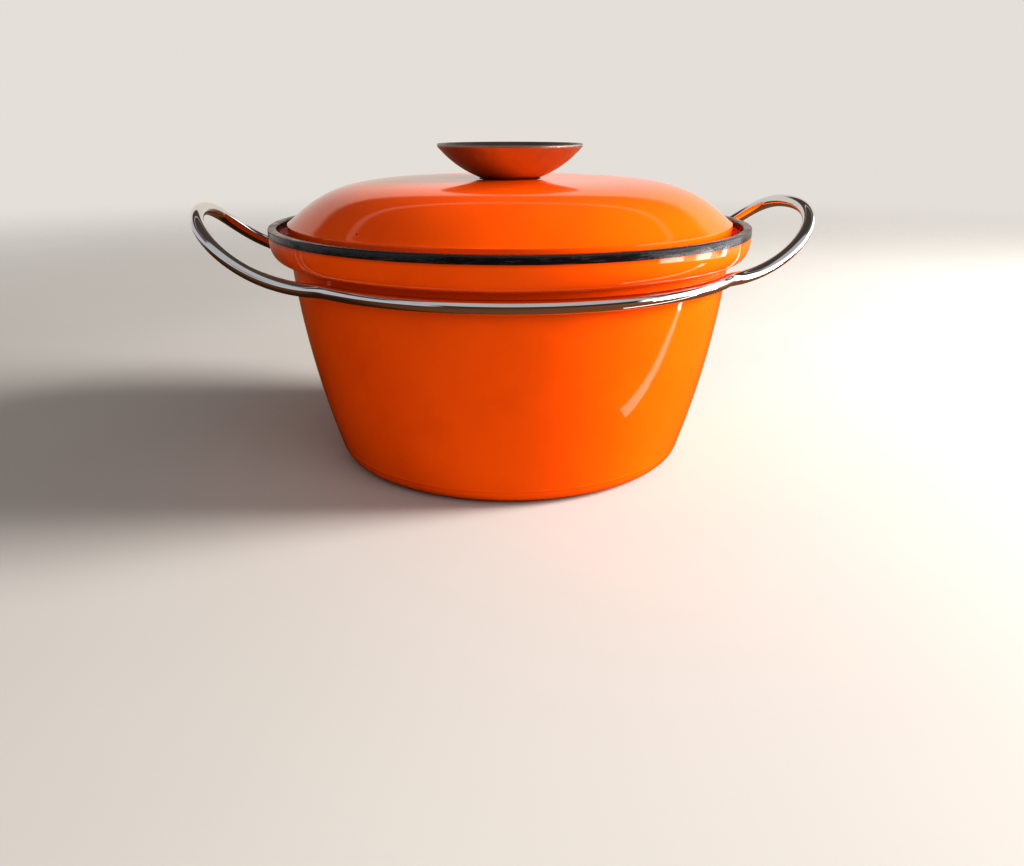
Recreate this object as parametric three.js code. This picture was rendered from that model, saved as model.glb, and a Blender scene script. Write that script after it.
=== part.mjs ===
// Enamelled cast-iron casserole. The pot's rim flares into a collar with a gutter inside it,
// a domed lid drops into the gutter, a dish-shaped knob is screwed to the lid, and one bent
// steel rod hugs the neck under the collar and rises into two loop handles.
// Millimetres, +Z up, origin at the centre of the flat base, handles along X.
import * as THREE from "three";

// pot casting, outside
const rimRadius = 105;          // outside of the rim
const potHeight = 104;          // base to rim
const bandHeight = 3.2;         // straight black edge of the rim
const rimThickness = 3.6;       // width of the rim's top
const collarReach = 8.7;        // how far the collar stands out from the neck
const collarDepth = 13.8;       // top of the rim down to the collar's underside
const collarPower = 0.77;       // below 1 gives the collar a full, squarish shoulder
const wallTaper = 16.5;         // neck radius minus heel radius
const wallBow = 2.45;           // bulge of the wall beyond a straight taper
const heelHeight = 6;           // height of the rounded bottom corner
const heelInset = 10.2;         // heel radius minus radius of the flat base

// pot casting, inside
const wallThickness = 4;
const floorThickness = 5;
const cornerRise = 9;           // rounding between wall and floor inside, up the wall
const cornerRun = 12.6;         // the same along the floor
const bandInside = 3;           // straight black face inside the rim
const gutterDepth = 9.4;        // top of the rim down to the ledge the lid rests on
const ledgeWidth = 4.6;         // flat ledge for the lid
const gutterFoot = 1.3;         // outer edge of the ledge beyond the neck's outside

// lid casting
const lidSideGap = 8.1;         // rim radius minus the lid's largest radius
const lidRise = 17.4;           // crown above the lid's widest line
const lidWaist = 1;             // height of the widest line above the rim
const lidPower = 0.31;          // below 1 gives the dome a full shoulder
const crownPower = 2.4;         // above 1 eases the shoulder into the edge
const lidThickness = 3.6;
const skirtWidth = 2.4;         // width of the ring that stands on the ledge
const edgeFullness = 3;         // height over which the edge turns in to that ring
const lipWidth = 2.6;           // width of the ring that keeps the lid centred
const lipDepth = 3.2;           // how far it reaches below the ledge
const lipShoulder = 2;          // the lid's widest line down to the top of the ring's inner face
const hollowInset = 0.5;        // start of the hollow dome inside that face
const seatGap = 0.25;           // clearance between pieces that rest on each other
const sideClearance = 1.2;      // play of the lid's centring ring in the pot
const footClearance = 1.5;      // round the knob's foot, in the shallow recess that takes it
const seatDepth = 1.2;          // depth of that recess
const seatChamfer = 0.8;        // widening of its mouth
const chamferDrop = 0.1;        // crown down to the chamfer's top
const padMargin = 4.1;          // thicker pad under the recess, beyond it
const padThickness = 5;
const domeEase = 2;             // dome ends this far outside the recess and the pad

// knob and its fastening
const knobRadius = 31.7;        // lip of the dish
const knobHeight = 14.7;
const knobFootRadius = 11.4;
const knobBow = 1.7;            // bulge of the dish's side
const knobLip = 1.2;            // thickness of the lip
const lipHeight = 1.1;          // upright face of the lip
const footWall = 2.85;          // foot beyond the floor of the dish's hollow
const dishDip = 0.6;            // middle of that floor below its edge
const knobSkin = 1;             // metal left between the screw's hole and the hollow
const washerInset = 0.8;        // seat washer inside the knob's foot
const seatWasherThickness = 0.5;
const screwRadius = 2.5;
const screwHeadRadius = 4.8;
const screwHeadHeight = 3;
const headEdge = 1;             // upright edge of the screw's head
const headFlat = 1.7;           // flat middle of the head's dome
const screwReach = 4.2;         // thread engaged in the knob
const tipChamfer = 0.8;
const washerRadius = 7;
const washerThickness = 1.2;
const boreClearance = 0.4;      // radial play around the screw

// carrying cradle
const rodRadius = 2.75;
const rodClearance = 0.3;       // between rod and neck
const rodDrop = 2.15;           // collar's underside down to the rod
const kinkAngle = 55;           // where the rod leaves the neck, degrees from the front
const legAngle = 32.7;          // direction a leg leaves the neck in, degrees from X
const legLength = 41;           // how far a leg is drawn in that direction
const legDip = 2.4;             // how far it is drawn down on the way
const handleReach = 27.2;       // tip of the handle beyond the rim, to the rod's centre
const tipWidth = 47.7;          // how far each side of the tip is drawn across the handle
const handleRise = 25.5;        // tip above the ring

// facets
const roundSteps = 60;
const knobSteps = 40;
const smallSteps = 24;
const curveSteps = 6;
const cornerSteps = 4;
const wallSteps = 5;
const domeSteps = 13;
const ringSteps = 12;
const legSteps = 9;
const rodSteps = 144;
const rodSides = 8;

const neckRadius = rimRadius - collarReach;
const heelRadius = neckRadius - wallTaper;
const collarBottom = potHeight - collarDepth;
const ledgeHeight = potHeight - gutterDepth;
const ledgeOuter = neckRadius + gutterFoot;
const ledgeInner = ledgeOuter - ledgeWidth;
const pocketRadius = rimRadius - rimThickness;
const lidRadius = rimRadius - lidSideGap;
const lidWide = potHeight + lidWaist;
const crownHeight = lidWide + lidRise;
const seatHeight = crownHeight - seatDepth;
const seatRadius = knobFootRadius + footClearance;
const padRadius = seatRadius + padMargin;
const padBottom = seatHeight - padThickness;
const knobBottom = seatHeight + seatWasherThickness + 2 * seatGap;
const bore = screwRadius + boreClearance;

const point = (r, z) => new THREE.Vector2(r, z);

const material = (name, color, roughness, metalness) =>
  new THREE.MeshStandardMaterial({ name, color, roughness, metalness });

// Turns a closed outline (radius, height) about the Z axis. The outline runs anticlockwise,
// so its faces point out.
function turned(outline, steps) {
  const geometry = new THREE.LatheGeometry(outline, steps);
  geometry.rotateX(Math.PI / 2);
  return geometry;
}

function mesh(name, geometry, finish) {
  const piece = new THREE.Mesh(geometry, finish);
  piece.name = name;
  return piece;
}

// A quarter of a superellipse between (r1, z1), where it runs upright, and (r2, z2), where it
// runs flat.
function shoulder(r1, z1, r2, z2, power, steps = curveSteps) {
  const points = [];
  for (let i = 0; i <= steps; i += 1) {
    const angle = (i / steps) * Math.PI / 2;
    const r = r2 + (r1 - r2) * Math.cos(angle) ** power;
    const z = z1 + (z2 - z1) * Math.sin(angle) ** power;
    points.push(point(r, z));
  }
  return points;
}

// Outside radius of the tapering, slightly bowed wall.
function wallRadius(z) {
  const u = (z - heelHeight) / (collarBottom - heelHeight);
  return heelRadius + wallTaper * u + 4 * wallBow * u * (1 - u);
}

function wallLine(z1, z2, inset, steps) {
  const points = [];
  for (let i = 0; i <= steps; i += 1) {
    const z = z1 + (z2 - z1) * (i / steps);
    points.push(point(wallRadius(z) - inset, z));
  }
  return points;
}

function potOutline() {
  const flat = heelRadius - heelInset;
  const heelSlope = (wallRadius(heelHeight + 1) - wallRadius(heelHeight)) * heelHeight;
  const heel = new THREE.QuadraticBezierCurve(
    point(flat, 0), point(heelRadius - heelSlope, 0), point(heelRadius, heelHeight));
  const outside = wallLine(heelHeight, collarBottom, 0, wallSteps);
  const collar = shoulder(rimRadius, potHeight - bandHeight, neckRadius, collarBottom, collarPower);
  const gutter = shoulder(pocketRadius, potHeight - bandInside, ledgeOuter, ledgeHeight, collarPower);
  const insideTop = ledgeHeight - (ledgeInner - (wallRadius(ledgeHeight) - wallThickness));
  const insideLow = floorThickness + cornerRise;
  const inside = wallLine(insideTop, insideLow, wallThickness, wallSteps);
  const lowRadius = wallRadius(insideLow) - wallThickness;
  const corner = shoulder(lowRadius, insideLow, lowRadius - cornerRun, floorThickness, 1, cornerSteps);
  return [
    point(0, 0),
    ...heel.getPoints(cornerSteps),
    ...outside.slice(1),
    ...collar.slice(1, -1).reverse(),
    point(rimRadius, potHeight - bandHeight),
    point(rimRadius, potHeight),
    point(pocketRadius, potHeight),
    ...gutter,
    point(ledgeInner, ledgeHeight),
    ...inside.slice(1),
    ...corner.slice(1),
    point(0, floorThickness),
  ];
}

// The lid's dome from its widest line to its middle, drawn in by an inset on every side and
// kept between two radii.
function domeLine(inset, innermost, outermost) {
  const radius = lidRadius - inset;
  const rise = lidRise - inset;
  const points = [];
  for (let i = 0; i <= domeSteps; i += 1) {
    const angle = (i / domeSteps) * Math.PI / 2;
    const r = radius * Math.cos(angle) ** lidPower;
    const z = lidWide + rise * Math.sin(angle) ** crownPower;
    if (r > innermost && r <= outermost) points.push(point(r, z));
  }
  return points;
}

function lidOutline() {
  const skirtBottom = ledgeHeight + seatGap;
  const skirtOuter = ledgeInner + skirtWidth;
  const lipOuter = ledgeInner - sideClearance;
  const lipInner = lipOuter - lipWidth;
  const lipBottom = ledgeHeight - lipDepth;
  const edge = new THREE.QuadraticBezierCurve(
    point(skirtOuter, skirtBottom), point(lidRadius, skirtBottom + edgeFullness),
    point(lidRadius, lidWide));
  const dome = domeLine(0, seatRadius + domeEase, lidRadius).slice(1);
  const hollow = domeLine(lidThickness, padRadius + domeEase, lipInner - hollowInset);
  return [
    point(lipOuter, lipBottom),
    point(lipOuter, skirtBottom),
    ...edge.getPoints(cornerSteps),
    ...dome,
    point(seatRadius + seatChamfer, crownHeight - chamferDrop),
    point(seatRadius, seatHeight),
    point(bore, seatHeight),
    point(bore, padBottom),
    point(padRadius, padBottom),
    ...hollow.reverse(),
    point(lipInner, lidWide - lipShoulder),
    point(lipInner, lipBottom),
    point(lipOuter, lipBottom),
  ];
}

// A side of the dish: a line bowed outwards and down.
function dishSide(r1, z1, r2, z2) {
  const run = r2 - r1;
  const rise = z2 - z1;
  const slant = Math.hypot(run, rise);
  const points = [];
  for (let i = 0; i <= curveSteps; i += 1) {
    const u = i / curveSteps;
    const out = 4 * knobBow * u * (1 - u);
    points.push(point(r1 + run * u + out * (rise / slant), z1 + rise * u - out * (run / slant)));
  }
  return points;
}

function knobOutline() {
  const top = knobBottom + knobHeight;
  const blind = knobBottom + screwReach + seatGap;
  const hollowFloor = blind + knobSkin + dishDip;
  return [
    point(bore, knobBottom),
    ...dishSide(knobFootRadius, knobBottom, knobRadius, top - lipHeight),
    point(knobRadius, top),
    ...dishSide(knobFootRadius - footWall, hollowFloor, knobRadius - knobLip, top).reverse(),
    point(0, hollowFloor - dishDip),
    point(0, blind),
    point(bore, blind),
    point(bore, knobBottom),
  ];
}

function washerOutline(inner, outer, bottom, thickness) {
  return [
    point(inner, bottom),
    point(outer, bottom),
    point(outer, bottom + thickness),
    point(inner, bottom + thickness),
    point(inner, bottom),
  ];
}

function screwOutline() {
  const seat = padBottom - washerThickness - 2 * seatGap;
  const tip = knobBottom + screwReach;
  const dome = shoulder(
    screwHeadRadius, seat - headEdge, headFlat, seat - screwHeadHeight, 1, cornerSteps);
  return [
    point(0, seat - screwHeadHeight),
    ...dome.reverse(),
    point(screwHeadRadius, seat),
    point(screwRadius, seat),
    point(screwRadius, tip - tipChamfer),
    point(screwRadius - tipChamfer, tip),
    point(0, tip),
  ];
}

// Centre line of the rod: ring arcs at front and back, a handle at each side.
function rodLine() {
  const ringHeight = collarBottom - rodDrop - rodRadius;
  const ringRadius = wallRadius(ringHeight + rodRadius) + rodClearance + rodRadius;
  const kink = THREE.MathUtils.degToRad(kinkAngle);
  const heading = THREE.MathUtils.degToRad(legAngle);
  const tip = rimRadius + handleReach;
  const tipHeight = ringHeight + handleRise;
  const spot = (x, y, z) => new THREE.Vector3(x, y, z);
  const quarter = [];
  for (let i = 0; i <= ringSteps; i += 1) {
    const angle = kink * (i / ringSteps);
    quarter.push(spot(ringRadius * Math.sin(angle), ringRadius * Math.cos(angle), ringHeight));
  }
  const leave = quarter[ringSteps];
  const outwards = spot(Math.cos(heading), -Math.sin(heading), 0).multiplyScalar(legLength);
  const leg = new THREE.CubicBezierCurve3(
    leave, leave.clone().add(outwards).setZ(ringHeight - legDip),
    spot(tip, tipWidth, tipHeight), spot(tip, 0, tipHeight));
  quarter.push(...leg.getPoints(legSteps).slice(1));
  const back = quarter.slice(0, -1).reverse();
  const mirrored = (line, signX, signY) => line.map((p) => spot(signX * p.x, signY * p.y, p.z));
  const points = [
    ...mirrored(quarter, 1, -1),
    ...mirrored(back, 1, 1),
    ...mirrored(quarter.slice(1), -1, 1),
    ...mirrored(back.slice(0, -1), -1, -1),
  ];
  return new THREE.CatmullRomCurve3(points, true, "centripetal");
}

const orange = () => material("orange_enamel", 0xf0590a, 0.12, 0.0);
const chrome = () => material("chromed_rod", 0xd4d6d8, 0.08, 1.0);
const steel = () => material("satin_steel", 0xb9b4ae, 0.3, 1.0);
const fibre = () => material("black_fibre", 0x1c1a18, 0.8, 0.0);
const zinc = () => material("plated_steel", 0x9c9a96, 0.35, 1.0);

const casserole = new THREE.Group();

const pot = new THREE.Group();
pot.add(mesh("pot_body", turned(potOutline(), roundSteps), orange()));

const cradle = new THREE.Group();
cradle.add(mesh(
  "cradle_rod", new THREE.TubeGeometry(rodLine(), rodSteps, rodRadius, rodSides, true), chrome()));

const lid = new THREE.Group();
lid.add(mesh("lid_dome", turned(lidOutline(), roundSteps), orange()));
lid.add(mesh("knob_seat_washer",
  turned(washerOutline(bore, knobFootRadius - washerInset, seatHeight + seatGap,
    seatWasherThickness), smallSteps), fibre()));
lid.add(mesh("knob_dish", turned(knobOutline(), knobSteps), steel()));
lid.add(mesh("screw_washer",
  turned(washerOutline(bore, washerRadius, padBottom - seatGap - washerThickness,
    washerThickness), smallSteps), zinc()));
lid.add(mesh("knob_screw", turned(screwOutline(), smallSteps), zinc()));

casserole.add(pot, cradle, lid);

export default casserole;
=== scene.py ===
import math
import bpy
from mathutils import Euler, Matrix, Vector


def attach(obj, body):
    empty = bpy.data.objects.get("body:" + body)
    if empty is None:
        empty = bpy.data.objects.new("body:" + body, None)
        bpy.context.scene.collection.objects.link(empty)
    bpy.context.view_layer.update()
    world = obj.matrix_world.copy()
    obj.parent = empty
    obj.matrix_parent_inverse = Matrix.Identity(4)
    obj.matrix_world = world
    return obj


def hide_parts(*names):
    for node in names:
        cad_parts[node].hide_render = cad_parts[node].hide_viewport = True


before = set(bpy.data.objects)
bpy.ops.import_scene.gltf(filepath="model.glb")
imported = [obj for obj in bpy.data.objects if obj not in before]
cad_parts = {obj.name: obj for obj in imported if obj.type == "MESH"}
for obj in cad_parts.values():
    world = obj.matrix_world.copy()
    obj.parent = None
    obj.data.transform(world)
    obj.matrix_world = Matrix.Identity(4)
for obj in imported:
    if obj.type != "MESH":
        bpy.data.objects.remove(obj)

mm = 0.001
startSize = 0.0005  # metres: the small plane that a line starts from, merged to one vertex
joinWithin = 0.000004  # metres
bevelAngle = math.radians(35)
smoothAngle = math.radians(40)
slack = 0.3  # mm: bevelled edges take the finish of the face they belong to
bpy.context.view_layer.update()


def rest():
    # back to object mode with nothing selected
    if bpy.context.mode != "OBJECT":
        bpy.ops.object.mode_set(mode="OBJECT")
    bpy.ops.object.select_all(action="DESELECT")


def pick(piece):
    rest()
    piece.select_set(True)
    bpy.context.view_layer.objects.active = piece


def applyModifier(piece, kind, **settings):
    pick(piece)
    bpy.ops.object.modifier_add(type=kind)
    modifier = piece.modifiers[-1]
    for key, value in settings.items():
        setattr(modifier, key, value)
    bpy.ops.object.modifier_apply(modifier=modifier.name)


def settle(piece):
    # the place goes into the mesh
    pick(piece)
    bpy.ops.object.transform_apply(location=True, rotation=True, scale=True)


def turn(name, outline, steps, edge):
    # one vertex, drawn out along the outline (radius, height in mm), then spun about the axis
    rest()
    r, z = outline[0]
    bpy.ops.mesh.primitive_plane_add(size=startSize, location=(r * mm, 0, z * mm))
    piece = bpy.context.object
    piece.name = name
    settle(piece)
    bpy.ops.object.mode_set(mode="EDIT")
    bpy.ops.mesh.select_all(action="SELECT")
    bpy.ops.mesh.merge(type="CENTER")
    for r2, z2 in outline[1:]:
        step = ((r2 - r) * mm, 0, (z2 - z) * mm)
        bpy.ops.mesh.extrude_region_move(TRANSFORM_OT_translate={"value": step})
        r, z = r2, z2
    bpy.ops.mesh.select_all(action="SELECT")
    bpy.ops.mesh.spin(steps=steps, angle=math.tau, center=(0, 0, 0), axis=(0, 0, 1))
    bpy.ops.mesh.select_all(action="SELECT")
    bpy.ops.mesh.remove_doubles(threshold=joinWithin)
    bpy.ops.mesh.normals_make_consistent(inside=False)
    bpy.ops.object.mode_set(mode="OBJECT")
    applyModifier(piece, "BEVEL", width=edge * mm, segments=3,
                  limit_method="ANGLE", angle_limit=bevelAngle)
    pick(piece)
    bpy.ops.object.shade_smooth_by_angle(angle=smoothAngle)
    return piece


def paintFaces(piece, finish, wanted):
    # the faces that answer the test take a finish of their own
    pick(piece)
    piece.data.materials.append(finish)
    bpy.ops.object.mode_set(mode="EDIT")
    bpy.ops.mesh.select_all(action="DESELECT")
    bpy.ops.object.mode_set(mode="OBJECT")
    for face in piece.data.polygons:
        face.select = wanted(face.center / mm, face.normal)
    bpy.ops.object.mode_set(mode="EDIT")
    piece.active_material_index = len(piece.data.materials) - 1
    bpy.ops.object.material_slot_assign()
    bpy.ops.object.mode_set(mode="OBJECT")


def shoulder(r1, z1, r2, z2, power, steps):
    # quarter of a superellipse, upright at its first end and level at its last
    points = []
    for i in range(steps + 1):
        a = math.pi / 2 * i / steps
        points.append((r2 + (r1 - r2) * max(math.cos(a), 0) ** power,
                       z1 + (z2 - z1) * math.sin(a) ** power))
    return points


def quadratic(a, b, c, steps):
    points = []
    for i in range(steps + 1):
        t = i / steps
        points.append(tuple((1 - t) ** 2 * p + 2 * t * (1 - t) * q + t * t * s
                            for p, q, s in zip(a, b, c)))
    return points


class Nodes:
    # short words for building a material's nodes
    def __init__(self, name):
        self.material = bpy.data.materials.new(name)
        self.material.use_nodes = True
        self.tree = self.material.node_tree
        self.shader = self.tree.nodes["Principled BSDF"]
        self.place = self.add("ShaderNodeTexCoord").outputs["Object"]

    def add(self, kind, **settings):
        node = self.tree.nodes.new(kind)
        for key, value in settings.items():
            setattr(node, key, value)
        return node

    def feed(self, socket, value):
        if hasattr(value, "is_output"):
            self.tree.links.new(value, socket)
        else:
            socket.default_value = value

    def set(self, **values):
        for key, value in values.items():
            self.feed(self.shader.inputs[key.replace("_", " ")], value)

    def noise(self, scale, detail=3.0, roughness=0.5, at=None):
        node = self.add("ShaderNodeTexNoise")
        self.feed(node.inputs["Vector"], at or self.place)
        node.inputs["Scale"].default_value = scale
        node.inputs["Detail"].default_value = detail
        node.inputs["Roughness"].default_value = roughness
        return node.outputs["Fac"]

    def stretched(self, x, y, z):
        # a pattern's place, squeezed by these amounts
        node = self.add("ShaderNodeMapping")
        self.feed(node.inputs["Vector"], self.place)
        node.inputs["Scale"].default_value = (x, y, z)
        return node.outputs[0]

    def math(self, operation, a, b=0.0, c=0.0):
        node = self.add("ShaderNodeMath", operation=operation)
        for socket, value in zip(node.inputs, (a, b, c)):
            self.feed(socket, value)
        return node.outputs[0]

    def span(self, value, low, high, first=0.0, last=1.0):
        # eased from the first amount at low to the last at high
        node = self.add("ShaderNodeMapRange", interpolation_type="SMOOTHSTEP")
        for socket, v in zip(node.inputs, (value, low, high, first, last)):
            self.feed(socket, v)
        return node.outputs[0]

    def mix(self, amount, a, b):
        node = self.add("ShaderNodeMix", data_type="RGBA")
        self.feed(node.inputs[0], amount)
        self.feed(node.inputs[6], a)
        self.feed(node.inputs[7], b)
        return node.outputs[2]

    def axes(self):
        node = self.add("ShaderNodeSeparateXYZ")
        self.feed(node.inputs[0], self.place)
        return node.outputs

    def radius(self):
        x, y, _ = self.axes()
        squares = self.math("ADD", self.math("MULTIPLY", x, x), self.math("MULTIPLY", y, y))
        return self.math("SQRT", squares)

    def bump(self, height, strength, distance, over=None):
        node = self.add("ShaderNodeBump")
        self.feed(node.inputs["Height"], height)
        node.inputs["Strength"].default_value = strength
        node.inputs["Distance"].default_value = distance
        if over is not None:
            self.feed(node.inputs["Normal"], over)
        return node.outputs["Normal"]

    def specks(self, scale, size, share):
        # sparse round pinholes: a share of the cells has one
        node = self.add("ShaderNodeTexVoronoi")
        self.feed(node.inputs["Vector"], self.place)
        node.inputs["Scale"].default_value = scale
        near = self.span(node.outputs["Distance"], size * 0.6, size, 1.0, 0.0)
        split = self.add("ShaderNodeSeparateColor")
        self.feed(split.inputs[0], node.outputs["Color"])
        chosen = self.math("LESS_THAN", split.outputs[0], share)
        return self.math("MULTIPLY", near, chosen)


# colours, heights in mm from the pot's foot, noise scales per metre, relief in metres
enamel = {
    "orange": (0.93, 0.104, 0.001, 1), "deep": (0.86, 0.088, 0.001, 1),
    "burnt": (0.34, 0.022, 0.001, 1), "black": (0.006, 0.0055, 0.006, 1),
    "chip": (0.055, 0.048, 0.045, 1), "pinhole": (0.035, 0.008, 0.003, 1),
    "cream": (0.80, 0.74, 0.60, 1), "stain": (0.50, 0.36, 0.20, 1),
    # crest: a lighter grey painted on the rim's top edge, a painted highlight
    "crestHighlight": (0.022, 0.020, 0.020, 1), "speck": (0.20, 0.19, 0.18, 1),
    "bandFoot": 100.8, "bandWander": 0.14, "bandBlur": (0.08, 0.10), "scorchDepth": 1.4,
    "crestFrom": 102.6, "crestTo": 103.9, "beadRise": (5.9, 6.7), "beadFall": (7.8, 7.0),
    "cloud": 14, "fine": 70, "pinholes": 75, "ripple": 26, "peel": 230, "glossPatches": 40,
    "wander": 45, "streaks": 150, "streakSqueeze": 9, "bandSpecks": 260, "grit": 420,
    "rippleRelief": 0.0016, "peelRelief": 0.0003, "pinholeRelief": 0.00012,
    "beadRelief": 0.00025, "gritRelief": 0.0003, "gloss": (0.045, 0.12), "bandGloss": (0.14, 0.34),
    "orangeRefraction": 1.46, "creamRefraction": 1.52, "creamGloss": (0.10, 0.22),
    "blots": 22, "stainFull": 4, "stainEnd": 50, "creamSpecks": 120, "creamRipple": 30, "creamPeel": 260,
    "groundGloss": (0.34, 0.55), "ringsPerMetre": 5200.0, "ringRelief": 0.00008, "groundWear": 45,
}


def orangeEnamel(name, banded):
    n = Nodes(name)
    cloud = n.noise(enamel["cloud"], 4, 0.55)
    fine = n.noise(enamel["fine"], 3)
    colour = n.mix(n.span(cloud, 0.35, 0.7), enamel["orange"], enamel["deep"])
    colour = n.mix(n.math("MULTIPLY", n.span(fine, 0.5, 0.75), 0.06), colour, enamel["burnt"])
    holes = n.specks(enamel["pinholes"], 0.05, 0.07)
    colour = n.mix(n.math("MULTIPLY", holes, 0.85), colour, enamel["pinhole"])
    ripple = n.noise(enamel["ripple"], 2, 0.4)
    peel = n.noise(enamel["peel"], 2, 0.5)
    surface = n.bump(ripple, 0.10, enamel["rippleRelief"])
    surface = n.bump(peel, 0.05, enamel["peelRelief"], surface)
    surface = n.bump(n.math("MULTIPLY", holes, -1.0), 0.6, enamel["pinholeRelief"], surface)
    gloss = n.span(n.noise(enamel["glossPatches"], 4, 0.6), 0.3, 0.75, *enamel["gloss"])
    if banded:
        height = n.axes()[2]
        rise = n.span(height, *[h * mm for h in enamel["beadRise"]])
        fall = n.span(height, *[h * mm for h in enamel["beadFall"]])
        surface = n.bump(n.math("MULTIPLY", rise, fall), 0.6, enamel["beadRelief"], surface)
        # the band's lower edge wanders a little
        wander = n.math("MULTIPLY", n.math("SUBTRACT", n.noise(enamel["wander"], 3, 0.5), 0.5),
                        enamel["bandWander"] * 2 * mm)
        edge = n.math("ADD", height, wander)
        foot = enamel["bandFoot"] * mm
        below, above = enamel["bandBlur"]
        scorch = n.span(edge, foot - enamel["scorchDepth"] * mm, foot, 0.0, 0.5)
        band = n.span(edge, foot - below * mm, foot + above * mm)
        squeezed = n.stretched(1, 1, enamel["streakSqueeze"])
        streaks = n.noise(enamel["streaks"], 4, 0.6, squeezed)
        worn = n.math("MULTIPLY", n.span(streaks, 0.52, 0.68), 0.55)
        black = n.mix(worn, enamel["black"], enamel["chip"])
        black = n.mix(n.specks(enamel["bandSpecks"], 0.10, 0.03), black, enamel["speck"])
        # painted highlight: the rim's top edge is painted a lighter grey
        crestHighlight = n.span(height, enamel["crestFrom"] * mm, enamel["crestTo"] * mm)
        black = n.mix(n.math("MULTIPLY", crestHighlight, 0.8), black, enamel["crestHighlight"])
        colour = n.mix(scorch, colour, enamel["burnt"])
        colour = n.mix(band, colour, black)
        rough = n.span(streaks, 0.35, 0.7, *enamel["bandGloss"])
        gloss = n.math("ADD", n.math("MULTIPLY", gloss, n.math("SUBTRACT", 1.0, band)),
                       n.math("MULTIPLY", rough, band))
        grit = n.math("MULTIPLY", n.noise(enamel["grit"], 3, 0.6), band)
        surface = n.bump(grit, 0.35, enamel["gritRelief"], surface)
    n.set(Base_Color=colour, Roughness=gloss, Normal=surface)
    n.shader.inputs["IOR"].default_value = enamel["orangeRefraction"]
    return n.material


def creamEnamel():
    # browned towards the pot's floor
    n = Nodes("creamEnamel")
    height = n.axes()[2]
    low = n.span(height, enamel["stainFull"] * mm, enamel["stainEnd"] * mm, 1.0, 0.0)
    blot = n.span(n.noise(enamel["blots"], 5, 0.65), 0.45, 0.75)
    tint = n.math("MULTIPLY", n.math("MULTIPLY", low, blot), 0.42)
    colour = n.mix(tint, enamel["cream"], enamel["stain"])
    specks = n.specks(enamel["creamSpecks"], 0.06, 0.05)
    colour = n.mix(n.math("MULTIPLY", specks, 0.5), colour, enamel["stain"])
    surface = n.bump(n.noise(enamel["creamRipple"], 2, 0.4), 0.10, enamel["rippleRelief"])
    surface = n.bump(n.noise(enamel["creamPeel"], 2), 0.04, enamel["peelRelief"], surface)
    rough = n.span(blot, 0.0, 1.0, *enamel["creamGloss"])
    n.set(Base_Color=colour, Roughness=rough, Normal=surface)
    n.shader.inputs["IOR"].default_value = enamel["creamRefraction"]
    return n.material


def groundCoat():
    # faint rings from turning, under a worn black coat
    n = Nodes("groundCoat")
    rings = n.math("SINE", n.math("MULTIPLY", n.radius(), enamel["ringsPerMetre"]))
    wear = n.span(n.noise(enamel["groundWear"], 5, 0.7), 0.5, 0.72)
    colour = n.mix(wear, enamel["black"], enamel["chip"])
    surface = n.bump(rings, 0.12, enamel["ringRelief"])
    surface = n.bump(n.noise(enamel["grit"], 4, 0.6), 0.4, enamel["gritRelief"], surface)
    rough = n.span(wear, 0.0, 1.0, *enamel["groundGloss"])
    n.set(Base_Color=colour, Roughness=rough, Normal=surface)
    return n.material


# colours, noise scales and lathe lines per metre, relief in metres, roughness from and to
metal = {
    "chrome": (0.78, 0.79, 0.80, 1), "haze": (0.60, 0.58, 0.56, 1),
    # the steel's warm brown tone is a painted reflection of the orange lid
    "steel": (0.46, 0.40, 0.36, 1), "smudge": (0.34, 0.28, 0.24, 1),
    "zinc": (0.52, 0.51, 0.49, 1), "dull": (0.30, 0.27, 0.23, 1),
    "hazePatches": 60, "pits": 420, "waves": 55, "waveRelief": 0.0004, "chromeGloss": (0.05, 0.16),
    "smudges": 95, "dimples": 200, "dimpleRelief": 0.0001, "lineRelief": 0.00004,
    "steelLines": 5200, "steelGloss": (0.36, 0.50),
    "washerLines": 4000, "washerGloss": (0.30, 0.5), "screwLines": 3000, "screwGloss": (0.26, 0.45),
}


def chromePlate():
    n = Nodes("chromePlate")
    haze = n.span(n.noise(metal["hazePatches"], 5, 0.65), 0.55, 0.8)
    colour = n.mix(n.math("MULTIPLY", haze, 0.35), metal["chrome"], metal["haze"])
    pits = n.specks(metal["pits"], 0.10, 0.04)
    colour = n.mix(n.math("MULTIPLY", pits, 0.7), colour, metal["dull"])
    surface = n.bump(n.noise(metal["waves"], 3), 0.11, metal["waveRelief"])
    rough = n.span(haze, 0.0, 1.0, *metal["chromeGloss"])
    n.set(Base_Color=colour, Roughness=rough, Normal=surface)
    n.shader.inputs["Metallic"].default_value = 1.0
    return n.material


def turnedSteel(name, tone, worn, grooves, gloss):
    # fine lathe lines run round the axis
    n = Nodes(name)
    radius = n.radius()
    lines = n.add("ShaderNodeTexNoise", noise_dimensions="1D")
    n.feed(lines.inputs["W"], n.math("MULTIPLY", radius, grooves))
    lines.inputs["Scale"].default_value = 1.0
    lines.inputs["Detail"].default_value = 3.0
    cloud = n.noise(metal["smudges"], 4, 0.6)
    colour = n.mix(n.math("MULTIPLY", n.span(cloud, 0.45, 0.8), 0.5), tone, worn)
    surface = n.bump(lines.outputs["Fac"], 0.03, metal["lineRelief"])
    surface = n.bump(n.noise(metal["dimples"], 2), 0.02, metal["dimpleRelief"], surface)
    n.set(Base_Color=colour, Roughness=n.span(cloud, 0.3, 0.75, *gloss), Normal=surface)
    n.shader.inputs["Metallic"].default_value = 1.0
    return n.material


fibre = {
    "dark": (0.012, 0.011, 0.010, 1), "light": (0.05, 0.042, 0.036, 1),
    "grain": 900, "relief": 0.0002, "rough": 0.78,
}


def blackFibre():
    n = Nodes("blackFibre")
    grain = n.noise(fibre["grain"], 5, 0.7)
    colour = n.mix(n.span(grain, 0.4, 0.7), fibre["dark"], fibre["light"])
    surface = n.bump(grain, 0.5, fibre["relief"])
    n.set(Base_Color=colour, Roughness=fibre["rough"], Normal=surface)
    return n.material


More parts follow.
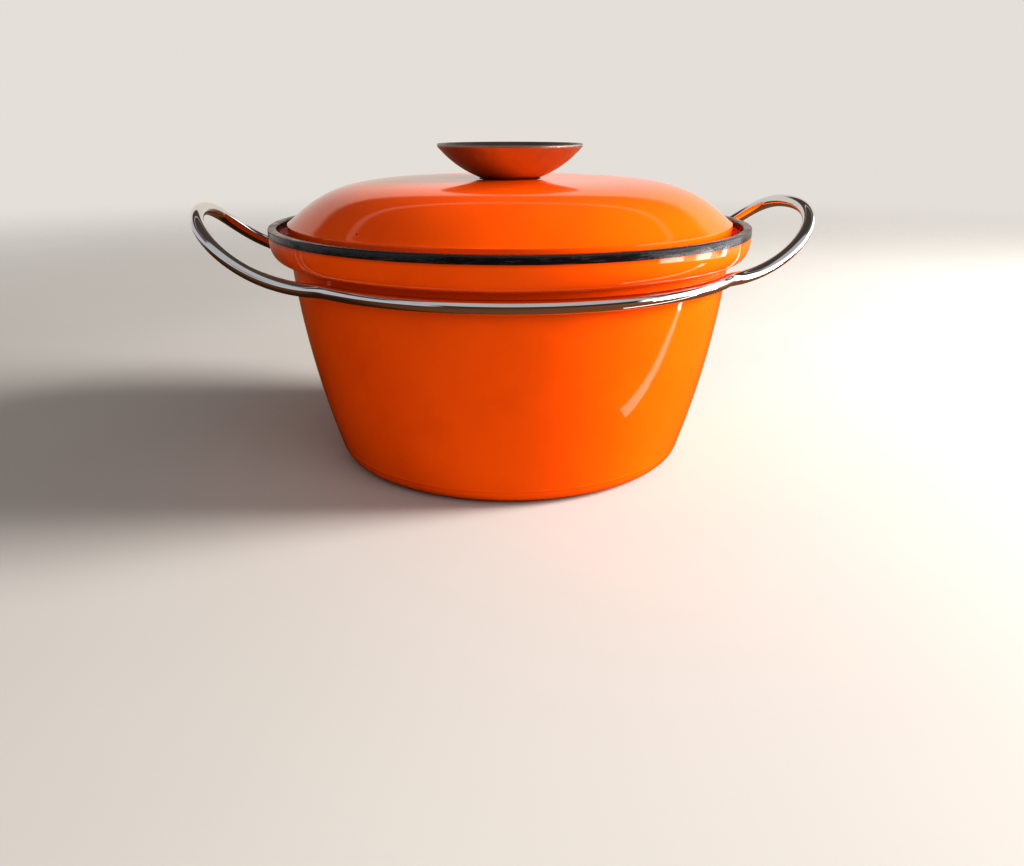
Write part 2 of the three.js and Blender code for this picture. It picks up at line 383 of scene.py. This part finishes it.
# radii, heights and widths in mm
pot = {
    "rim": 105.0, "height": 104.0, "band": 3.2, "rimWidth": 3.6, "bandInside": 3.0,
    "neck": 96.3, "collarFoot": 90.2, "collarPower": 0.77,
    "heel": 79.8, "heelHeight": 6.0, "flat": 69.6, "taper": 16.5, "bow": 2.45,
    "wall": 4.0, "floor": 5.0, "ledge": 94.6, "ledgeOuter": 97.6, "ledgeInner": 93.0,
    "corner": 9.0, "cornerStretch": 1.4, "fillet": 1.6, "ledgeRound": 0.7, "edge": 0.7,
    "baseRings": (24, 48), "floorRings": (40, 18), "steps": 200,
}


def wallRadius(z):
    # the outer wall tapers towards its foot and swells a little between
    u = (z - pot["heelHeight"]) / (pot["collarFoot"] - pot["heelHeight"])
    return pot["heel"] + pot["taper"] * u + 4 * pot["bow"] * u * (1 - u)


def wallLine(z1, z2, inset, steps):
    heights = [z1 + (z2 - z1) * i / steps for i in range(steps + 1)]
    return [(wallRadius(z) - inset, z) for z in heights]


def makePot():
    heelHeight, foot, hollow = pot["heelHeight"], pot["collarFoot"], pot["fillet"]
    slope = (wallRadius(heelHeight + 1) - wallRadius(heelHeight)) * heelHeight
    heel = quadratic((pot["flat"], 0), (pot["heel"] - slope, 0), (pot["heel"], heelHeight), steps=12)
    wall = wallLine(heelHeight, foot - hollow, 0, steps=26)
    collar = shoulder(pot["rim"], pot["height"] - pot["band"], pot["neck"], foot,
                      pot["collarPower"], steps=30)
    collar = [p for p in collar if p[0] > pot["neck"] + hollow]
    neckFillet = quadratic(wall[-1], (wallRadius(foot), foot), collar[-1], steps=6)
    pocket = pot["rim"] - pot["rimWidth"]
    gutter = shoulder(pocket, pot["height"] - pot["bandInside"], pot["ledgeOuter"], pot["ledge"],
                      pot["collarPower"], steps=20)
    low = pot["floor"] + pot["corner"]
    lowRadius = wallRadius(low) - pot["wall"]
    inside = wallLine(pot["ledge"] - pot["ledgeRound"], low, pot["wall"], steps=24)
    corner = shoulder(lowRadius, low, lowRadius - pot["corner"] * pot["cornerStretch"],
                      pot["floor"], 1, steps=12)
    outline = ([(0, 0)] + [(r, 0) for r in pot["baseRings"]] + heel + wall[1:]
               + neckFillet[1:-1] + collar[::-1]
               + [(pot["rim"], pot["height"]), (pocket, pot["height"])] + gutter
               + [(pot["ledgeInner"], pot["ledge"])] + inside[1:] + corner[1:]
               + [(r, pot["floor"]) for r in pot["floorRings"]] + [(0, pot["floor"])])
    piece = turn("potShell", outline, pot["steps"], edge=pot["edge"])
    piece.data.materials.append(orangeEnamel("orangeEnamelPot", True))
    ledge, inner = pot["ledge"] - slack, pot["ledgeInner"] + slack
    paintFaces(piece, creamEnamel(), lambda c, n: (
        math.hypot(c.x, c.y) < inner and pot["floor"] - 1 < c.z < ledge
        and (n.x * c.x + n.y * c.y < 0 or n.z > 0.5)))
    paintFaces(piece, groundCoat(), lambda c, n: c.z < 0.05 and n.z < -0.9)
    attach(piece, "pot")
    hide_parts("pot_body")
    print("pot", len(piece.data.polygons))


# mm; the seat is the flat recess under the knob, the pad the thicker iron below it
lid = {
    "radius": 96.9, "wide": 105.0, "rise": 17.4, "edgePower": 0.31, "crownPower": 2.4,
    "thick": 3.6, "skirt": 2.4, "lip": 2.6, "lipDepth": 3.2, "gap": 0.25, "play": 1.2,
    "seatRadius": 12.9, "seatDepth": 1.2, "padRadius": 17.0, "pad": 5.0, "bore": 2.9,
    "skirtRise": 3, "domeStop": 1.6, "seatBrow": (0.9, 0.05), "padFree": 2, "lipFree": 0.5,
    "lipTop": 2, "edge": 0.5, "steps": 200,
}
crown = lid["wide"] + lid["rise"]
seat = crown - lid["seatDepth"]
padFoot = seat - lid["pad"]


def domeLine(inset, steps):
    # points crowd towards the middle, where the radius runs away fastest
    points = []
    for i in range(steps + 1):
        a = math.pi / 2 * (1 - (1 - i / steps) ** 2)
        points.append(((lid["radius"] - inset) * max(math.cos(a), 0) ** lid["edgePower"],
                       lid["wide"] + (lid["rise"] - inset) * math.sin(a) ** lid["crownPower"]))
    return points


def makeLid():
    skirtFoot = pot["ledge"] + lid["gap"]
    skirtOuter = pot["ledgeInner"] + lid["skirt"]
    lipOuter = pot["ledgeInner"] - lid["play"]
    lipInner = lipOuter - lid["lip"]
    lipFoot = pot["ledge"] - lid["lipDepth"]
    edge = quadratic((skirtOuter, skirtFoot), (lid["radius"], skirtFoot + lid["skirtRise"]),
                     (lid["radius"], lid["wide"]), steps=10)
    dome = [p for p in domeLine(0, steps=60)[1:] if p[0] > lid["seatRadius"] + lid["domeStop"]]
    hollow = [p for p in domeLine(lid["thick"], steps=40)
              if lid["padRadius"] + lid["padFree"] < p[0] <= lipInner - lid["lipFree"]]
    browOut, browDown = lid["seatBrow"]
    outline = ([(lipOuter, lipFoot), (lipOuter, skirtFoot)] + edge + dome
               + [(lid["seatRadius"] + browOut, crown - browDown), (lid["seatRadius"], seat),
                  (lid["bore"], seat), (lid["bore"], padFoot), (lid["padRadius"], padFoot)]
               + hollow[::-1]
               + [(lipInner, lid["wide"] - lid["lipTop"]), (lipInner, lipFoot), (lipOuter, lipFoot)])
    piece = turn("lidShell", outline, lid["steps"], edge=lid["edge"])
    piece.data.materials.append(orangeEnamel("orangeEnamelLid", False))
    paintFaces(piece, creamEnamel(), lambda c, n: (
        math.hypot(c.x, c.y) < lipInner + slack and n.z < 0.3 and c.z < crown - 3
        and math.hypot(c.x, c.y) > lid["bore"] + 0.2))
    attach(piece, "lid")
    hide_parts("lid_dome")
    print("lid", len(piece.data.polygons))


# the knob and its fastening, in mm from the lid's seat up and from its pad down
seatWasher = {"radius": 10.6, "thick": 0.5, "edge": 0.12, "steps": 96}
screwWasher = {"radius": 7.0, "thick": 1.2, "edge": 0.3, "steps": 96}
screw = {
    "radius": 2.5, "head": 4.8, "headHeight": 3.0, "headEdge": 1.0, "headFlat": 1.7,
    "reach": 4.2, "tip": 0.8, "slot": 1.1, "slotCut": 2.6, "slotLong": 2.4,
    "edge": 0.15, "steps": 96,
}
knob = {
    "lip": 31.7, "height": 14.7, "foot": 11.4, "bow": 1.7, "lipWidth": 1.2, "lipHeight": 1.1,
    "skin": 1.0, "dip": 0.6, "dipRadius": 5, "dipEdge": 0.45, "hollowFoot": 8.55,
    "edge": 0.5, "steps": 128,
}
knobFoot = seat + seatWasher["thick"] + 2 * lid["gap"]


def makeKnob():
    top = knobFoot + knob["height"]

    def side(r1, z1, r2, z2, steps):
        # a straight slant, bowed outwards
        run, rise = r2 - r1, z2 - z1
        slant = math.hypot(run, rise)
        points = []
        for i in range(steps + 1):
            u = i / steps
            out = 4 * knob["bow"] * u * (1 - u)
            points.append((r1 + run * u + out * rise / slant, z1 + rise * u - out * run / slant))
        return points

    blind = knobFoot + screw["reach"] + lid["gap"]  # top of the blind bore
    hollow = blind + knob["skin"] + knob["dip"]
    outside = side(knob["foot"], knobFoot, knob["lip"], top - knob["lipHeight"], steps=26)
    inside = side(knob["hollowFoot"], hollow, knob["lip"] - knob["lipWidth"], top, steps=22)[::-1]
    outline = ([(lid["bore"], knobFoot)] + outside + [(knob["lip"], top)] + inside
               + [(knob["dipRadius"], hollow - knob["dipEdge"]), (0, hollow - knob["dip"]),
                  (0, blind), (lid["bore"], blind), (lid["bore"], knobFoot)])
    piece = turn("knobShell", outline, knob["steps"], edge=knob["edge"])
    # the knob's warm brown steel tone is a painted reflection of the orange lid
    piece.data.materials.append(turnedSteel("satinSteel", metal["steel"], metal["smudge"],
                                            metal["steelLines"], metal["steelGloss"]))
    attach(piece, "lid")
    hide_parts("knob_dish")
    print("knob", len(piece.data.polygons))


def makeWashers():
    plated = turnedSteel("zincPlateWasher", metal["zinc"], metal["dull"],
                         metal["washerLines"], metal["washerGloss"])
    rings = (("knobWasher", "knob_seat_washer", "black_fibre", blackFibre(),
              seatWasher, seat + lid["gap"]),
             ("screwWasher", "screw_washer", "plated_steel", plated,
              screwWasher, padFoot - lid["gap"] - screwWasher["thick"]))
    for name, node, slotName, finish, washer, foot in rings:
        outer, top = washer["radius"], foot + washer["thick"]
        outline = [(lid["bore"], foot), (outer, foot), (outer, top), (lid["bore"], top),
                   (lid["bore"], foot)]
        piece = turn(name, outline, washer["steps"], edge=washer["edge"])
        piece.data.materials.append(finish)
        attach(piece, "lid")
        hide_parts(node)
    print("washers", len(rings))


def makeScrew():
    under = padFoot - screwWasher["thick"] - 2 * lid["gap"]
    foot = under - screw["headHeight"]
    tip = knobFoot + screw["reach"]
    head = shoulder(screw["head"], under - screw["headEdge"], screw["headFlat"], foot, 1, steps=10)
    outline = ([(0, foot)] + head[::-1] + [(screw["head"], under), (screw["radius"], under),
               (screw["radius"], tip - screw["tip"]), (screw["radius"] - screw["tip"], tip), (0, tip)])
    piece = turn("knobScrew", outline, screw["steps"], edge=screw["edge"])
    # a slot across the head
    rest()
    bpy.ops.mesh.primitive_cube_add(size=1, location=(0, 0, foot * mm))
    cutter = bpy.context.object
    cutter.scale = (screw["head"] * screw["slotLong"] * mm, screw["slot"] * mm, screw["slotCut"] * mm)
    settle(cutter)
    applyModifier(piece, "BOOLEAN", object=cutter, operation="DIFFERENCE", solver="EXACT")
    bpy.data.objects.remove(cutter)
    pick(piece)
    bpy.ops.object.shade_smooth_by_angle(angle=bevelAngle)
    piece.data.materials.append(turnedSteel("zincPlateScrew", metal["zinc"], metal["dull"],
                                            metal["screwLines"], metal["screwGloss"]))
    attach(piece, "lid")
    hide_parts("knob_screw")
    print("screw", len(piece.data.polygons))


# carrying cradle: mm and degrees
rod = {
    "radius": 2.75, "clearance": 0.3, "drop": 2.15, "kink": 55.0, "kinkLength": 6.0,
    "reach": 27.1, "legAngle": 32.7, "leg": 41.0, "legDip": 2.4, "tipWidth": 47.7,
    "rise": 25.5, "weld": 1.06, "weldHalf": 0.5, "sectionSteps": 8,
    "ringPoints": 20, "kinkPoints": 8, "legPoints": 36,
}


def rodLine():
    # a quarter of the rod: ring, kink, leg and half the loop's tip, then its three mirror images
    ringHeight = pot["collarFoot"] - rod["drop"] - rod["radius"]
    ring = wallRadius(ringHeight + rod["radius"]) + rod["clearance"] + rod["radius"]
    kink, heading = math.radians(rod["kink"]), math.radians(rod["legAngle"])
    tip = pot["rim"] + rod["reach"]
    tipHeight = ringHeight + rod["rise"]
    corner = (ring * math.sin(kink), ring * math.cos(kink), ringHeight)
    legEnds = (corner,
               (corner[0] + rod["leg"] * math.cos(heading),
                corner[1] - rod["leg"] * math.sin(heading), ringHeight - rod["legDip"]),
               (tip, rod["tipWidth"], tipHeight), (tip, 0, tipHeight))

    def leg(t):
        shares = ((1 - t) ** 3, 3 * t * (1 - t) ** 2, 3 * t * t * (1 - t), t ** 3)
        return tuple(sum(s * end[i] for s, end in zip(shares, legEnds)) for i in range(3))

    ringEnd = kink - rod["kinkLength"] / ring
    legStart = rod["kinkLength"] / (3 * rod["leg"])
    quarter = []
    for i in range(rod["ringPoints"] + 1):
        a = ringEnd * i / rod["ringPoints"]
        quarter.append((ring * math.sin(a), ring * math.cos(a), ringHeight))
    quarter += quadratic(quarter[-1], corner, leg(legStart), rod["kinkPoints"])[1:]
    count = rod["legPoints"]
    quarter += [leg(legStart + (1 - legStart) * i / count) for i in range(1, count + 1)]
    back = quarter[-2::-1]
    return (quarter + [(x, -y, z) for x, y, z in back]
            + [(-x, -y, z) for x, y, z in quarter[1:]] + [(-x, y, z) for x, y, z in back[:-1]])


def drawLine(name, line):
    # one vertex drawn out along a closed line (mm)
    rest()
    bpy.ops.mesh.primitive_plane_add(size=startSize, location=Vector(line[0]) * mm)
    piece = bpy.context.object
    piece.name = name
    settle(piece)
    bpy.ops.object.mode_set(mode="EDIT")
    bpy.ops.mesh.select_all(action="SELECT")
    bpy.ops.mesh.merge(type="CENTER")
    for a, b in zip(line, line[1:]):
        step = (Vector(b) - Vector(a)) * mm
        bpy.ops.mesh.extrude_region_move(TRANSFORM_OT_translate={"value": step})
    bpy.ops.object.mode_set(mode="OBJECT")
    piece.data.vertices[0].select = True
    bpy.ops.object.mode_set(mode="EDIT")
    bpy.ops.mesh.edge_face_add()
    bpy.ops.object.mode_set(mode="OBJECT")
    return piece


def makeCradle():
    piece = drawLine("cradleRod", rodLine())
    pick(piece)
    bpy.ops.object.convert(target="CURVE")
    curve = piece.data
    curve.dimensions = "3D"
    curve.bevel_depth = rod["radius"] * mm
    curve.bevel_resolution = rod["sectionSteps"]
    # slightly thicker at the butt weld, at the back
    for knot in curve.splines[0].points:
        if knot.co.y > 0 and abs(knot.co.x) < rod["weldHalf"] * mm:
            knot.radius = rod["weld"]
    bpy.ops.object.convert(target="MESH")
    bpy.ops.object.mode_set(mode="EDIT")
    bpy.ops.mesh.select_all(action="SELECT")
    bpy.ops.mesh.remove_doubles(threshold=0.00001)
    bpy.ops.mesh.normals_make_consistent(inside=False)
    bpy.ops.object.mode_set(mode="OBJECT")
    bpy.ops.object.shade_smooth()
    piece.data.materials.clear()
    piece.data.materials.append(chromePlate())
    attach(piece, "cradle")
    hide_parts("cradle_rod")
    print("cradle", len(piece.data.polygons))


# camera in mm and degrees, floor in metres
look = {
    "lens": 29.99, "sensor": 36, "distance": 391.5, "height": 146.2, "pitch": 20.12,
    "azimuth": -8.67, "aside": 0.134, "nearest": 0.01, "backdrop": (0.66, 0.63, 0.59, 1),
    "floor": (0.50, 0.485, 0.465, 1), "floorShade": (0.47, 0.455, 0.435, 1),
    # floorInGloss: a painted reflection, the warm dark brown that the pot's gloss sees in the floor
    "floorInGloss": (0.10, 0.045, 0.02, 1), "floorRadius": 3, "floorDrop": 0.0001,
    "floorPatches": 3, "floorRough": 0.7, "fadeFrom": 0.25, "fadeTo": 1.5,
}


def makeCamera():
    rest()
    azimuth = math.radians(look["azimuth"])
    spot = Vector((math.sin(azimuth) * look["distance"], -math.cos(azimuth) * look["distance"],
                   look["height"])) * mm
    bpy.ops.object.camera_add(location=spot)
    camera = bpy.context.object
    camera.rotation_euler = Euler(
        (math.radians(90 - look["pitch"]), 0, azimuth - math.radians(look["aside"])))
    camera.data.lens = look["lens"]
    camera.data.sensor_width = look["sensor"]
    camera.data.clip_start = look["nearest"]
    bpy.context.scene.camera = camera
    print("camera", tuple(round(v, 4) for v in spot))


def makeFloor():
    # pale to the eye; to glossy rays a warm dark brown, a painted reflection in the pot's gloss; faded
    # out far away
    rest()
    bpy.ops.mesh.primitive_circle_add(vertices=96, radius=look["floorRadius"], fill_type="NGON",
                                      location=(0, 0, -look["floorDrop"]))
    floor = bpy.context.object
    floor.name = "floor"
    settle(floor)
    n = Nodes("paleFloor")
    patches = n.span(n.noise(look["floorPatches"], 3), 0.3, 0.7)
    n.set(Base_Color=n.mix(patches, look["floor"], look["floorShade"]), Roughness=look["floorRough"])
    # painted reflection: the floor is a warm dark brown to glossy rays only
    paintedReflectionFloor = n.add("ShaderNodeBsdfDiffuse")
    paintedReflectionFloor.inputs["Color"].default_value = look["floorInGloss"]
    path = n.add("ShaderNodeLightPath").outputs
    inGloss = n.add("ShaderNodeMixShader")
    clear = n.add("ShaderNodeBsdfTransparent")
    far = n.add("ShaderNodeMixShader")
    n.feed(inGloss.inputs[0], path["Is Glossy Ray"])
    n.feed(inGloss.inputs[1], n.shader.outputs[0])
    n.feed(inGloss.inputs[2], paintedReflectionFloor.outputs[0])
    n.feed(far.inputs[0], n.span(n.radius(), look["fadeFrom"], look["fadeTo"]))
    n.feed(far.inputs[1], inGloss.outputs[0])
    n.feed(far.inputs[2], clear.outputs[0])
    n.feed(n.tree.nodes["Material Output"].inputs[0], far.outputs[0])
    floor.data.materials.append(n.material)
    print("floor", look["floorRadius"])


def areaLight(name, spot, aim, width, height, watts, colour):
    rest()
    bpy.ops.object.light_add(type="AREA", location=spot)
    lamp = bpy.context.object
    lamp.name = name
    lamp.rotation_euler = (Vector(aim) - Vector(spot)).to_track_quat("-Z", "Y").to_euler()
    lamp.data.shape = "RECTANGLE"
    lamp.data.size = width
    lamp.data.size_y = height
    lamp.data.energy = watts
    lamp.data.color = colour
    lamp.visible_camera = False
    return lamp


# colours, and where each begins and is full, as shares of the direction's x, y or z
room = {
    "wall": (0.66, 0.60, 0.54, 1), "front": (0.05, 0.04, 0.035, 1), "ceiling": (0.08, 0.06, 0.05, 1),
    "frontCeiling": (0.46, 0.45, 0.45, 1), "beam": (0.55, 0.50, 0.45, 1),
    "left": (0.48, 0.48, 0.51, 1), "window": (1.7, 1.75, 1.85, 1),
    "under": (0.10, 0.05, 0.03, 1),
    "wallY": (-0.12, 0.12), "leftX": (-0.60, -0.75), "windowX": (0.78, 0.84),
    "beamZ": (0.655, 0.685), "ceilingZ": (0.42, 0.48), "frontCeilingY": (-0.20, -0.32),
    "frontCeilingZ": (0.28, 0.34), "underZ": (0.0, -0.1), "underY": (0.35, 0.1), "blur": 0.01,
}


def makeRoom():
    # the room that the gloss shows: pale wall behind, dark in front, a window to the right, a
    # ceiling that is paler in front; a plain backdrop to the eye
    world = bpy.data.worlds.new("studio")
    bpy.context.scene.world = world
    world.use_nodes = True
    tree = world.node_tree
    sky = tree.nodes["Background"]

    def add(kind, **settings):
        node = tree.nodes.new(kind)
        for key, value in settings.items():
            setattr(node, key, value)
        return node

    def span(value, low, high):
        node = add("ShaderNodeMapRange", interpolation_type="SMOOTHSTEP")
        tree.links.new(value, node.inputs[0])
        node.inputs[1].default_value = low
        node.inputs[2].default_value = high
        return node.outputs[0]

    def mix(amount, a, b):
        node = add("ShaderNodeMix", data_type="RGBA")
        tree.links.new(amount, node.inputs[0])
        for socket, value in ((node.inputs[6], a), (node.inputs[7], b)):
            if isinstance(value, tuple):
                socket.default_value = value
            else:
                tree.links.new(value, socket)
        return node.outputs[2]

    def both(a, b):
        node = add("ShaderNodeMath", operation="MULTIPLY")
        tree.links.new(a, node.inputs[0])
        tree.links.new(b, node.inputs[1])
        return node.outputs[0]

    def between(value, low, high):
        blur = room["blur"]
        return both(span(value, low - blur, low + blur), span(value, high + blur, high - blur))

    where = add("ShaderNodeTexCoord").outputs["Generated"]
    split = add("ShaderNodeSeparateXYZ")
    tree.links.new(where, split.inputs[0])
    x, y, z = split.outputs
    walls = mix(span(y, *room["wallY"]), room["front"], room["wall"])
    walls = mix(span(x, *room["leftX"]), walls, room["left"])
    walls = mix(span(x, *room["windowX"]), walls, room["window"])
    ceiling = mix(between(z, *room["beamZ"]), room["ceiling"], room["beam"])
    shown = mix(span(z, *room["ceilingZ"]), walls, ceiling)
    shown = mix(both(span(y, *room["frontCeilingY"]), span(z, *room["frontCeilingZ"])),
                shown, room["frontCeiling"])
    shown = mix(both(span(z, *room["underZ"]), span(y, *room["underY"])), shown, room["under"])
    path = add("ShaderNodeLightPath").outputs
    shown = mix(path["Is Camera Ray"], shown, look["backdrop"])
    tree.links.new(shown, sky.inputs[0])
    sky.inputs[1].default_value = 1.0


# two soft lights that the gloss doesn't show: where, aim, width and height in metres, watts, colour
softLights = (
    ("windowRight", (1.19, -0.17, 0.46), (0, 0, 0.08), 0.42, 0.7, 54, (1.0, 0.97, 0.92)),
    ("frontSoft", (0.45, -1.2, 0.75), (0, 0, 0.05), 1.3, 0.9, 6, (1.0, 0.98, 0.95)),
)
# strips of light low on the right that only the gloss shows: where (x, y), length and width in
# metres, brightness, and the turn about Z in degrees
glints = (
    (0.205, -0.085, 0.26, 0.010, 9, 7),
    (0.305, -0.073, 0.07, 0.012, 34, 7),
    (0.95, -0.15, 1.00, 0.35, 7, 0),
)
# low upright cards to the right, for the collar and the black band: where, width and height
cards = (
    (0.36, -0.22, 0.050, 0.09, 0.050),
    (0.40, -0.09, 0.052, 0.07, 0.060),
    (0.41, 0.02, 0.048, 0.03, 0.060),
)
glintLook = {
    "cardBright": 24, "cardAim": (0, 0, 0.09), "cardColour": (0.95, 0.98, 1.0),
    "glintHeight": 0.003, "glintColour": (1.0, 0.97, 0.92),
}


def makeLight():
    for name, spot, aim, width, height, watts, colour in softLights:
        lamp = areaLight(name, spot, aim, width, height, watts, colour)
        lamp.visible_glossy = False
    for i, (x, y, length, width, bright, twist) in enumerate(glints):
        strip = areaLight("glint%d" % i, (x, y, glintLook["glintHeight"]), (x, y, 1), length, width,
                          bright * length * width, glintLook["glintColour"])
        strip.rotation_euler.z += math.radians(twist)
        strip.visible_diffuse = False
    for i, (x, y, z, width, height) in enumerate(cards):
        card = areaLight("card%d" % i, (x, y, z), glintLook["cardAim"], width, height,
                         glintLook["cardBright"] * width * height, glintLook["cardColour"])
        card.visible_diffuse = False
    makeRoom()
    bpy.context.scene.view_settings.view_transform = "Standard"
    bpy.context.scene.view_settings.look = "Medium High Contrast"
    print("lights", len(softLights) + len(glints) + len(cards))


rest()
makeCamera()
makePot()
makeLid()
makeKnob()
makeWashers()
makeScrew()
makeCradle()
makeFloor()
makeLight()
rest()
